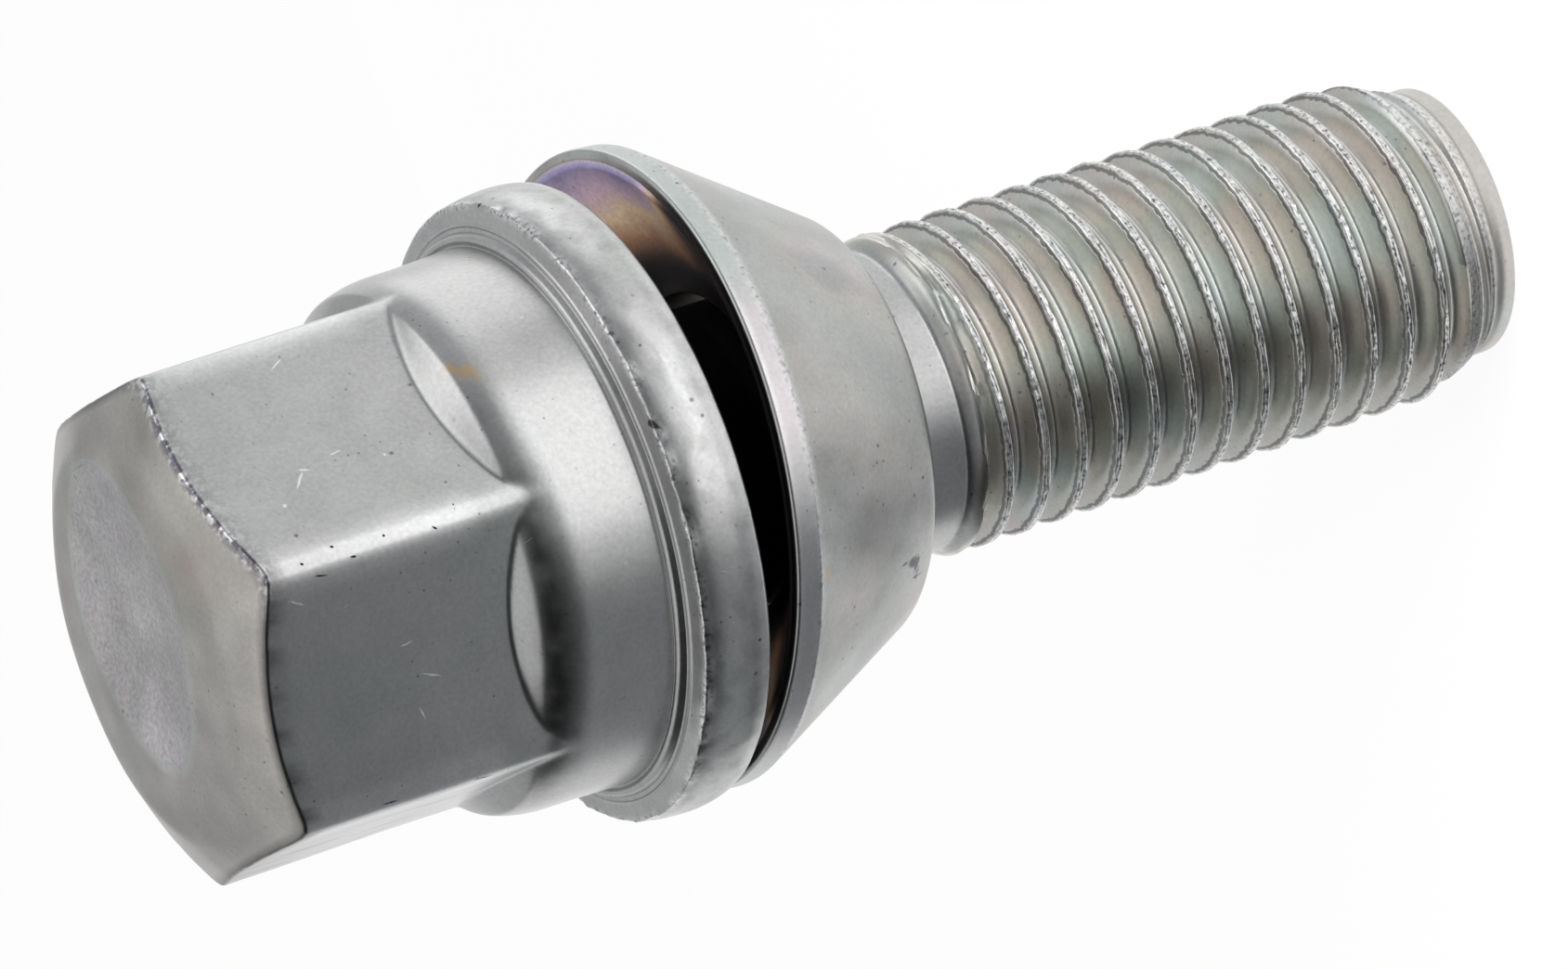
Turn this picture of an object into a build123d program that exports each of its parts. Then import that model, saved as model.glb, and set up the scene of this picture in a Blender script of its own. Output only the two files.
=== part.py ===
"""Wheel bolt with a loose conical seat washer that is trapped on its neck.

The bolt stands on the free end of its thread: the origin is the middle of that end
face and +Z runs up the axis towards the head. Sizes are millimetres and degrees.
"""

import os
from math import atan, ceil, cos, degrees, radians, sin, tan

from build123d import *

# Thread, measured up from the free end
thread_diameter = 11.8
thread_pitch = 1.5
thread_depth = 0.92
thread_top = 22.4
thread_fade = 1.22
crest_width = 0.19
flank_angle = 30
runout_length = 0.75
tip_step = 0.03
tip_band = 0.7
tip_taper = 2.3
tip_edge = 0.25

# Conical washer, with its back face up, and its play on the neck
bore_clearance = 0.2
bore_length = 3.4
bore_lead = 0.5
washer_inset = 0.05
washer_band = 0.95
washer_edge_round = 0.15
back_width = 0.65
recess_depth = 3.0
recess_bulge = 0.6
cone_half_angle = 30
cone_end_wall = 1.8
cone_end_round = 0.5
washer_tilt = 5.1
gap_over_thread = 2.35
gap_under_flange = 0.1

# Hex head
hex_across_flats = 17.0
hex_corner_round = 1.1
hex_length = 15.25
chamfer_angle = 30
crown_diameter = 14.4
crown_angle = 5
dimple_diameter = 10.0
dimple_depth = 0.35
dimple_offset = (1.3, 0.6)

# Collar, bead and flange under the hex
collar_lip = 0.15
collar_height = 4.9
collar_shoulder_angle = 45
collar_shoulder_round = 1.4
bead_reach = 0.65
bead_height = 0.2
bead_slope = 0.3
flange_reach = 1.8
flange_thickness = 2.6
flange_draft = 0.3
flange_rim_round = 0.9
flange_edge_round = 0.25
neck_fillet = 1.5

# Thread groove: the neck is the blank that the thread was rolled on
thread_radius = thread_diameter / 2
neck_radius = thread_radius - thread_depth / 2
groove_radius = thread_radius - thread_depth
groove_mouth = (thread_pitch - crest_width) / 2
groove_root = groove_mouth - thread_depth * tan(radians(flank_angle))
groove_overcut = crest_width / 2
groove_top = thread_top - thread_fade
groove_turns = ceil(groove_top / thread_pitch) + 1
groove_bottom = groove_top - groove_turns * thread_pitch
runout_angle = degrees(atan(thread_depth / runout_length))
tip_radius = groove_radius - tip_step
tip_taper_top = tip_band + tip_taper

# Radii of head, flange and washer
flat_radius = hex_across_flats / 2
corner_radius = (flat_radius - hex_corner_round) / cos(radians(30)) + hex_corner_round
collar_radius = corner_radius + collar_lip
bead_radius = collar_radius + bead_reach
flange_radius = collar_radius + flange_reach
washer_radius = flange_radius - washer_inset
recess_radius = washer_radius - back_width
bore_radius = neck_radius + bore_clearance + bore_length / 2 * tan(radians(washer_tilt))
cone_end_radius = bore_radius + cone_end_wall

# Heights of the washer, which rocks about the middle of its bore, and of the flange above it
washer_height = washer_band + (washer_radius - cone_end_radius) / tan(radians(cone_half_angle))
back_rise = recess_depth + bore_length / 2
end_drop = washer_height - back_rise
tilt_cos = cos(radians(washer_tilt))
tilt_sin = sin(radians(washer_tilt))
bore_middle = thread_top + gap_over_thread + end_drop * tilt_cos + cone_end_radius * tilt_sin
flange_bottom = bore_middle + back_rise * tilt_cos + washer_radius * tilt_sin + gap_under_flange
flange_top = flange_bottom + flange_thickness
bead_top = flange_top + bead_height + bead_slope
collar_top = flange_top + collar_height
shoulder_top = collar_top + (collar_radius - flat_radius) / tan(radians(collar_shoulder_angle))

# Heights of the head's end: a chamfer cone, a low crown and a dimple in it
crown_radius = crown_diameter / 2
dimple_radius = dimple_diameter / 2
chamfer_slope = tan(radians(chamfer_angle))
crown_slope = tan(radians(crown_angle))
hex_top = flange_top + hex_length
crown_edge = hex_top + (flat_radius - crown_radius) * chamfer_slope
crown_top = crown_edge + crown_radius * crown_slope
dimple_rim = crown_top - dimple_radius * crown_slope

# Corners of the outlines that are rounded
tip_corner = (tip_radius, 0)
neck_corner = (neck_radius, flange_bottom)
rim_bottom = (flange_radius, flange_bottom)
rim_top = (flange_radius - flange_draft, flange_top)
collar_corner = (collar_radius, collar_top)
back_corner = (washer_radius, bore_middle + back_rise)
cone_corner = (cone_end_radius, bore_middle - end_drop)


def nearest_vertex(sketch, point):
    """The corner of a sketch's outline that lies closest to a point of its plane."""
    return sketch.vertices().sort_by_distance(point)[0]


def groove_section(height):
    """The thread groove's section at a height, in the plane through the axis."""
    outer_radius = thread_radius + groove_overcut
    outer_mouth = groove_mouth + groove_overcut * tan(radians(flank_angle))
    with BuildSketch(Plane.XZ) as section:
        with BuildLine():
            Polyline(
                (groove_radius, height - groove_root),
                (outer_radius, height - outer_mouth),
                (outer_radius, height + outer_mouth),
                (groove_radius, height + groove_root),
                close=True,
            )
        make_face()
    return section.sketch


with BuildPart() as bolt:
    # Hex prism, cut back at its end by the chamfer cone and the crown
    with BuildSketch(Plane.XY.offset(flange_top)):
        hexagon = RegularPolygon(radius=flat_radius, side_count=6, major_radius=False)
        fillet(hexagon.vertices(), radius=hex_corner_round)
    extrude(amount=2 * hex_length)
    with BuildSketch(Plane.XZ):
        with BuildLine():
            Polyline(
                (0, flange_bottom),
                (2 * flat_radius, flange_bottom),
                (2 * flat_radius, hex_top - flat_radius * chamfer_slope),
                (crown_radius, crown_edge),
                (0, crown_top),
                close=True,
            )
        make_face()
    revolve(axis=Axis.Z, mode=Mode.INTERSECT)

    # Shank, flange, bead and collar
    with BuildSketch(Plane.XZ) as outline:
        with BuildLine():
            Polyline(
                (0, 0),
                tip_corner,
                (tip_radius, tip_band),
                (thread_radius, tip_taper_top),
                (thread_radius, thread_top - thread_depth / 2),
                (neck_radius, thread_top),
                neck_corner,
                rim_bottom,
                rim_top,
                (bead_radius, flange_top + bead_height),
                (bead_radius - bead_slope, bead_top),
                (collar_radius, bead_top),
                collar_corner,
                (flat_radius, shoulder_top),
                (0, shoulder_top),
                close=True,
            )
        make_face()
        chamfer(nearest_vertex(outline, tip_corner), length=tip_edge)
        fillet(nearest_vertex(outline, neck_corner), radius=neck_fillet)
        fillet(nearest_vertex(outline, rim_bottom), radius=flange_rim_round)
        fillet(nearest_vertex(outline, rim_top), radius=flange_edge_round)
        fillet(nearest_vertex(outline, collar_corner), radius=collar_shoulder_round)
    revolve(axis=Axis.Z)

    # Shallow round dimple, left a little off the middle of the crown
    dimple_plane = Plane((*dimple_offset, dimple_rim), x_dir=(1, 0, 0), z_dir=(0, -1, 0))
    with BuildSketch(dimple_plane):
        with BuildLine():
            ThreePointArc((-dimple_radius, 0), (0, -dimple_depth), (dimple_radius, 0))
            Polyline(
                (dimple_radius, 0),
                (dimple_radius, dimple_radius),
                (-dimple_radius, dimple_radius),
                (-dimple_radius, 0),
            )
        make_face()
        split(bisect_by=Plane.YZ, keep=Keep.TOP)
    revolve(axis=Axis(dimple_plane.origin, (0, 0, 1)), mode=Mode.SUBTRACT)

    # Thread groove, cut turn by turn up to the run-out, which climbs out of the neck
    for turn in range(groove_turns):
        turn_bottom = groove_bottom + turn * thread_pitch
        with BuildLine():
            full_turn = Helix(thread_pitch, thread_pitch, groove_radius, (0, 0, turn_bottom))
        sweep(groove_section(turn_bottom), path=full_turn, is_frenet=True, mode=Mode.SUBTRACT)
    with BuildLine():
        runout = Helix(
            thread_pitch, runout_length, groove_radius, (0, 0, groove_top), cone_angle=runout_angle
        )
    sweep(groove_section(groove_top), path=runout, is_frenet=True, mode=Mode.SUBTRACT)

bolt.part.label = "bolt"

with BuildPart() as conical_washer:
    # Drawn square on the axis: dished back, outer band, cone and bore
    washer_back = bore_middle + back_rise
    bore_top = bore_middle + bore_length / 2
    recess_middle = (
        (recess_radius + bore_radius) / 2 - recess_bulge,
        (washer_back + bore_top) / 2 - recess_bulge,
    )
    with BuildSketch(Plane.XZ) as section:
        with BuildLine():
            ThreePointArc((bore_radius, bore_top), recess_middle, (recess_radius, washer_back))
            Polyline(
                (recess_radius, washer_back),
                back_corner,
                (washer_radius, washer_back - washer_band),
                cone_corner,
                (bore_radius + bore_lead, bore_middle - end_drop),
                (bore_radius, bore_middle - bore_length / 2),
                (bore_radius, bore_top),
            )
        make_face()
        fillet(nearest_vertex(section, back_corner), radius=washer_edge_round)
        fillet(nearest_vertex(section, cone_corner), radius=cone_end_round)
    revolve(axis=Axis.Z)

# The loose washer lies rocked on the neck
rock_axis = Axis((0, 0, bore_middle), (0, 1, 0))
rocked_washer = conical_washer.part.rotate(rock_axis, washer_tilt)
rocked_washer.label = "conical_washer"

os.makedirs("parts", exist_ok=True)
export_step(bolt.part, "parts/bolt.step")
export_step(rocked_washer, "parts/conical_washer.step")
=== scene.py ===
"""Wheel bolt with a loose conical washer, dressed in worn zinc plate.

Sizes are millimetres and degrees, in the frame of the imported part: the origin is the
middle of the thread's free end and +Z runs up the axis to the head. Meshes are made in
millimetres and turned into metres when they become objects.
"""

import math

import bmesh
import bpy
import numpy as np
from mathutils import Matrix, Vector


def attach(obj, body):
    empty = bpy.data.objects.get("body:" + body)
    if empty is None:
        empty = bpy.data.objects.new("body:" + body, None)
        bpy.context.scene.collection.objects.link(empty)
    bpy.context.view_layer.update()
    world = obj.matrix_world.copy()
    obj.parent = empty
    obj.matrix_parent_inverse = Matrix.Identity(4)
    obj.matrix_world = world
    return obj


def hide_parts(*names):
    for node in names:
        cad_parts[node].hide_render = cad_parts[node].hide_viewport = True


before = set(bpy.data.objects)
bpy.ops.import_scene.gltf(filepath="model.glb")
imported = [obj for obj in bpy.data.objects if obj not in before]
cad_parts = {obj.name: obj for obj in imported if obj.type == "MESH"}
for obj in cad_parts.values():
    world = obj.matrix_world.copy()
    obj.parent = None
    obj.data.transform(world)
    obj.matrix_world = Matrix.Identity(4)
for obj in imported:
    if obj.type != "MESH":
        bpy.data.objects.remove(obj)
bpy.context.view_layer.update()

MM = 0.001
FULL_TURN = 2 * math.pi

# Photograph's view: the camera looks at a point beside the axis, rolled until the head is on the left
view_azimuth = 25.05
view_elevation = 24.17
view_roll = 108.19
view_distance = 578.4
view_target = (-0.06, -3.74, 29.43)
view_lens = 379.5

# Thread, with its heights measured up from the free end
thread_radius = 5.9
thread_pitch = 1.5
thread_depth = 0.92
crest_height = 0.93
last_groove = 22.3
groove_fade_turns = 0.7
groove_stop = (22.05, 22.45)
thread_shoulder = (22.4, 23.1)
thread_zone = (0.45, 23.5)
tip_radius = 4.95
tip_edge = 0.25
tip_band = 0.8
tip_softness = 0.05
taper_top = 3.0
neck_radius = 5.44

# Half of the thread's section: how far from crest to root, and how much of the depth is gone there
thread_section = (
    (0.0, 0.03),
    (0.07, 0.0),
    (0.16, 0.02),
    (0.23, 0.11),
    (0.41, 0.37),
    (0.59, 0.65),
    (0.74, 0.87),
    (0.86, 0.965),
    (1.0, 1.0),
)

# Flange, bead and collar
flange_bottom = 34.317
flange_top = 36.917
rim_radius = 11.48
trim_radius = 11.29
collar_radius = 9.78
collar_foot_radius = 9.84
shoulder_radius = 4.3
crease_radius = 9.505
crease_height = 42.10
front_crease = (-0.27, 0.1)
hex_foot = 42.92
crease_softness = 0.03
hex_foot_softness = 0.045
shoulder_levels = np.concatenate([
    np.linspace(40.0, 41.2, 4),
    np.linspace(41.36, 41.96, 5),
    np.linspace(42.04, 42.16, 3),
    np.linspace(42.26, 42.71, 5),
    np.linspace(42.78, 43.06, 5),
    np.linspace(43.16, 43.3, 2),
])

# Fine rings and the bead between trim and collar: radius, height, rounding, steps to the next
bead_outline = (
    (10.60, 37.06, 0.03, 1),
    (10.53, 37.13, 0.03, 1),
    (10.45, 37.07, 0.03, 1),
    (10.31, 37.10, 0.03, 1),
    (10.22, 37.35, 0.1, 1),
    (10.05, 37.43, 0.1, 1),
    (9.93, 37.35, 0.05, 1),
)

# Hex and its end
flat_radius = 8.5
hex_sharpness = 38
hex_top = 52.15
chamfer_slope = math.tan(math.radians(30))
crown_radius = 7.2
crown_top = 53.14
crown_edge = 52.80
end_tilt = 0.026
dimple_centre = 1.1
dimple_length = 5.7
dimple_width = 4.5
dimple_depth = 0.5
lens_power = 1.65
lens_softness = 0.06

# Conical washer, drawn square on the axis and then rocked about the middle of its bore
bore_radius = 5.79
bore_length = 3.4
bore_lead = 0.5
bore_middle = 28.51
washer_back = 33.21
washer_radius = 11.543
washer_band = 0.95
recess_radius = 10.895
recess_bulge = 0.6
cone_end_radius = 7.592
cone_end_height = 25.413
washer_tilt = 5.1
cone_height = washer_back - washer_band - cone_end_height

# Columns of the meshes round the axis, and how much they crowd at the corners of the hex
bolt_columns = 246
washer_columns = 256
corner_crowding = 0.6
wave_count = 24

# Heights on the bolt between which its wear sets in or ends, and the height of the painted shade on the front
# of the collar's shoulder
head_zone = (34.5, 35.5)
tilt_zone = (46, 51.5)
end_zone = (52.3, 52.8)
hex_zone = (43.2, 44)
fold_shade_height = 41.75

# Directions seen in the photograph: up the picture and towards the camera, across the bolt's axis
picture_up = np.array([math.cos(math.radians(view_azimuth)), math.sin(math.radians(view_azimuth))])
picture_near = np.array([picture_up[1], -picture_up[0]])


def smooth_step(low, high, value):
    """0 below low, 1 above high and a smooth rise between."""
    t = np.clip((value - low) / (high - low), 0, 1)
    return t * t * (3 - 2 * t)


def hump(value, centre, width):
    """1 at a centre, falling smoothly to almost nothing two widths from it."""
    return np.exp(-(((value - centre) / width) ** 2))


def waviness(points, wavelength, seed):
    """Smooth random field of about unit height over points, with bumps of about that size."""
    rng = np.random.default_rng(seed)
    directions = rng.normal(size=(wave_count, 3))
    directions /= np.linalg.norm(directions, axis=1)[:, None]
    phases = rng.uniform(0, FULL_TURN, wave_count)
    waves = points @ directions.T * (FULL_TURN / wavelength) + phases
    return np.sin(waves).sum(axis=-1) / math.sqrt(wave_count / 2)


def column_angles(count, crowding=0.0):
    """Angles round the axis, closer together at the six corners of the hex where they are crowded."""
    even = np.arange(count) * FULL_TURN / count
    return even - crowding / 6 * np.sin(6 * even)


def hex_reach(angles):
    """Distance from the axis to the outline of the hex, whose corners fade softly into the flats."""
    flats = np.radians(np.arange(30, 360, 60))
    facing = np.maximum(np.cos(np.asarray(angles)[..., None] - flats), 0)
    return flat_radius / (facing**hex_sharpness).sum(axis=-1) ** (1 / hex_sharpness)


def hex_end(reach):
    """Height at which the chamfer cuts the hex, where the hex reaches so far from the axis."""
    return hex_top - (reach - flat_radius) * chamfer_slope


def path_rings(angles, corners, arc_steps=4):
    """Rings of (radius, height) along a path with rounded corners, one value for each angle.

    A corner is (radius, height, length that its rounding takes, steps to the next corner).
    """
    spread = np.zeros(len(angles))
    points = [np.stack([radius + spread, height + spread], axis=1) for radius, height, _, _ in corners]
    rings = []
    start = points[0]
    for index in range(1, len(points)):
        here = points[index]
        rounding = corners[index][2]
        if rounding:
            back = points[index - 1] - here
            ahead = points[index + 1] - here
            back_length = np.linalg.norm(back, axis=1)[:, None]
            ahead_length = np.linalg.norm(ahead, axis=1)[:, None]
            taken = np.minimum(rounding, 0.45 * np.minimum(back_length, ahead_length))
            arc_start = here + back / back_length * taken
            arc_end = here + ahead / ahead_length * taken
        else:
            arc_start = here
            arc_end = here
        steps = corners[index - 1][3]
        rings += [start + (arc_start - start) * step / steps for step in range(steps)]
        if rounding:
            for step in range(arc_steps):
                t = step / arc_steps
                rings.append((1 - t) ** 2 * arc_start + 2 * t * (1 - t) * here + t * t * arc_end)
        start = arc_end
    rings.append(start)
    return rings


def turned(angles, ring):
    """Points in space of one ring of (radius, height)."""
    return np.stack([ring[:, 0] * np.cos(angles), ring[:, 0] * np.sin(angles), ring[:, 1]], axis=1)


class MeshParts:
    """Vertices and faces that grow ring by ring."""

    def __init__(self):
        self.points = []
        self.faces = []

    def add_ring(self, points):
        """Adds vertices and gives their indices."""
        first = len(self.points)
        self.points.extend(map(tuple, points))
        return np.arange(first, first + len(points))

    def bridge(self, lower, upper):
        """Joins two closed rings of the same length with quads."""
        lower_next = np.roll(lower, -1)
        upper_next = np.roll(upper, -1)
        self.faces.extend(zip(lower.tolist(), lower_next.tolist(), upper_next.tolist(), upper.tolist()))

    def bridge_all(self, rings):
        """Joins each ring to the next."""
        for lower, upper in zip(rings, rings[1:]):
            self.bridge(lower, upper)

    def fan(self, ring, centre):
        """Closes a ring on one middle point."""
        middle = int(self.add_ring([centre])[0])
        self.faces.extend((a, b, middle) for a, b in zip(ring.tolist(), np.roll(ring, -1).tolist()))

    def add_quad(self, corners):
        """Adds a quad, or a triangle where two of its corners are one vertex."""
        kept = [corner for i, corner in enumerate(corners) if corner != corners[i - 1]]
        if len(set(kept)) >= 3:
            self.faces.append(tuple(kept))


def thread_rows():
    """Rows of one pitch: (place in it, share of the depth that is gone, share from crest to root)."""
    rows = []
    for along, gone in thread_section:
        rows.append((0.5 - along / 2, gone, along))
        if 0 < along < 1:
            rows.append((0.5 + along / 2, gone, along))
    return sorted(rows)


def taper_reach(height):
    """Radius of the tapered tip's cone at a height."""
    return tip_radius + (thread_radius - tip_radius) * (height - tip_band) / (taper_top - tip_band)


def thread_reach(height, gone, root_turn):
    """Radius of the thread's surface, with its run-out at the neck and the tapered tip."""
    shoulder = smooth_step(*thread_shoulder, height)
    blank = thread_radius + (neck_radius - thread_radius) * shoulder
    end_turn = (last_groove - crest_height) / thread_pitch + 0.5
    fade = 1 - smooth_step(end_turn, end_turn + groove_fade_turns, root_turn)
    fade = fade * smooth_step(groove_stop[1], groove_stop[0], height)
    root = thread_radius - thread_depth
    reach = blank - (blank - root) * gone * fade
    limit = np.maximum(taper_reach(height), tip_radius)
    overshoot = np.log1p(np.exp(np.clip((reach - limit) / tip_softness, -60, 60))) * tip_softness
    return reach - overshoot


def add_thread(parts, angles, ring_low, ring_high):
    """The helical rows between two plain rings: each row climbs one pitch in a turn."""
    low, high = thread_zone
    rows = thread_rows()
    row_count = len(rows)
    turns = math.ceil((high - low) / thread_pitch) + 2
    level_count = row_count * (turns + 1)
    base = crest_height - 0.5 * thread_pitch
    base_turn = math.floor((low - base) / thread_pitch)
    share = angles / FULL_TURN
    index = np.zeros((level_count + 1, len(angles)), dtype=int)
    for level in range(level_count + 1):
        turn = base_turn - 1 + level // row_count
        place, gone, along = rows[level % row_count]
        height = base + thread_pitch * (turn + place + share)
        root_turn = turn + (place > 0.5) + share
        reach = thread_reach(height, gone, root_turn)
        ring = np.stack([reach, height], axis=1)
        points = turned(angles, ring)
        torn = max(0, 1 - along / 0.2) * smooth_step(thread_shoulder[1], thread_shoulder[0], height)
        torn = torn * smooth_step(tip_band, taper_top, height)
        if along < 0.2:
            rough = waviness(points, 0.55, 5) * 0.018 + waviness(points, 1.7, 6) * 0.012
            ring[:, 0] += torn * rough
            ring[:, 1] += torn * waviness(points, 0.9, 7) * 0.02
            points = turned(angles, ring)
        new = parts.add_ring(points)
        inside = (height > low) & (height < high)
        index[level] = np.where(inside, new, np.where(height <= low, ring_low, ring_high))
    columns = len(angles)
    for level in range(level_count):
        for column in range(columns):
            if column < columns - 1:
                other = (index[level, column + 1], index[level + 1, column + 1])
            elif level + 1 + row_count <= level_count:
                other = (index[level + row_count, 0], index[level + 1 + row_count, 0])
            else:
                continue
            parts.add_quad((index[level, column], other[0], other[1], index[level + 1, column]))


def front_share(angles):
    """1 on the flat that faces the camera and 0 away from it."""
    degrees = np.degrees(np.angle(np.exp(1j * angles)))
    return smooth_step(-45, -75, degrees) * smooth_step(-150, -115, degrees)


def shoulder_rings(angles, reach):
    """Rings over the collar's round shoulder and the slope above it, until the hex stands out of them.

    The slope starts at a crease, which lies farther in on the front.
    """
    front = front_share(angles)
    inner = crease_radius + front_crease[0] * front
    crease = crease_height + front_crease[1] * front
    drop = collar_radius - inner
    foot = crease - np.sqrt(2 * shoulder_radius * drop - drop**2)
    rings = []
    for level in shoulder_levels:
        height = level + (crease - crease_height) * max(0, 1 - abs(level - crease_height) / 1.2)
        over = np.clip(height - foot, 0, shoulder_radius)
        arc = collar_radius - shoulder_radius + np.sqrt(shoulder_radius**2 - over**2)
        slope = inner - (height - crease) * (inner - flat_radius) / (hex_foot - crease)
        collar = -np.logaddexp(-arc / crease_softness, -slope / crease_softness) * crease_softness
        radius = np.logaddexp(collar / hex_foot_softness, reach / hex_foot_softness) * hex_foot_softness
        rings.append(np.stack([radius, height], axis=1))
    return rings


def head_outline(angles):
    """Rings from the neck up over flange, bead, collar and hex to the crown's edge."""
    reach = hex_reach(angles)
    scallop = hex_end(reach)
    below = path_rings(
        angles,
        [
            (neck_radius, thread_zone[1], 0, 4),
            (neck_radius, flange_bottom, 1.5, 3),
            (rim_radius - 0.16, flange_bottom, 0.2, 1),
            (rim_radius - 0.02, flange_bottom + 0.55, 0.35, 1),
            (rim_radius, flange_bottom + 1.25, 0.4, 1),
            (rim_radius - 0.06, flange_bottom + 1.95, 0.35, 1),
            (trim_radius, flange_top, 0.1, 3),
            *bead_outline,
            (collar_foot_radius, 37.34, 0.05, 4),
            (collar_radius, 39.6, 0, 1),
        ],
    )
    shoulder = shoulder_rings(angles, reach)
    above = path_rings(
        angles,
        [
            (shoulder[-1][:, 0], shoulder[-1][:, 1], 0, 11),
            (reach, scallop, 0.16, 5),
            (crown_radius, crown_edge, 0.9, 1),
            (crown_radius - 0.6, crown_height(crown_radius - 0.6), 0, 1),
        ],
    )
    return below + shoulder[:-1] + above


def crown_height(radius):
    """Height of the low crown on the head's end at a distance from the axis."""
    return crown_top - (crown_top - crown_edge) * (radius / crown_radius) ** 4


def lens_share(along, across):
    """Share of the way from a lens-shaped outline's middle to it, for places in its half lengths."""
    soft = lens_softness * (along**2 + across**2)
    half = lens_power / 2
    share = ((along**2 + soft) ** half + (across**2 + soft) ** half) ** (1 / lens_power)
    return share / ((1 + lens_softness) ** half + lens_softness**half) ** (1 / lens_power)


def add_end(parts, angles, ring, ring_points):
    """The crown inside a ring, and the long dimple pressed in it off the middle."""
    turned_angles = angles - math.radians(view_azimuth)
    across = np.array([-picture_up[1], picture_up[0]])
    lens = 1 / lens_share(np.cos(turned_angles), np.sin(turned_angles))
    rim = (
        np.outer(dimple_length * lens * np.cos(turned_angles) + dimple_centre, picture_up)
        + np.outer(dimple_width * lens * np.sin(turned_angles), across)
    )
    middle = dimple_centre * picture_up
    last = ring
    for step in range(1, 7):
        flat = ring_points[:, :2] + (rim - ring_points[:, :2]) * step / 6
        height = crown_height(np.linalg.norm(flat, axis=1))
        new = parts.add_ring(np.column_stack([flat, height]))
        parts.bridge(last, new)
        last = new
    for share in (0.985, 0.96, 0.92, 0.86, 0.78, 0.66, 0.52, 0.38, 0.24, 0.12):
        flat = middle + (rim - middle) * share
        height = crown_height(np.linalg.norm(flat, axis=1)) - dimple_depth * (1 - share**2)
        new = parts.add_ring(np.column_stack([flat, height]))
        parts.bridge(last, new)
        last = new
    height = crown_height(abs(dimple_centre)) - dimple_depth
    parts.fan(last, (middle[0], middle[1], height))


def bolt_mesh():
    """Vertices and faces of the bolt, from the free end of the thread to the head."""
    angles = column_angles(bolt_columns)
    crowded = column_angles(bolt_columns, corner_crowding)
    parts = MeshParts()
    tip = path_rings(
        angles,
        [
            (1.2, 0.0, 0, 4),
            (tip_radius, 0.0, tip_edge, 2),
            (tip_radius, thread_zone[0], 0, 1),
        ],
    )
    rings = [parts.add_ring(turned(angles, ring)) for ring in tip]
    parts.bridge_all(rings)
    parts.fan(rings[0], (0, 0, 0))
    head = head_outline(crowded)
    head_points = [turned(angles if ring[0, 1] < flange_bottom else crowded, ring) for ring in head]
    head_rings = [parts.add_ring(points) for points in head_points]
    parts.bridge_all(head_rings)
    add_thread(parts, angles, rings[-1], head_rings[0])
    add_end(parts, crowded, head_rings[-1], head_points[-1])
    return parts


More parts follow.
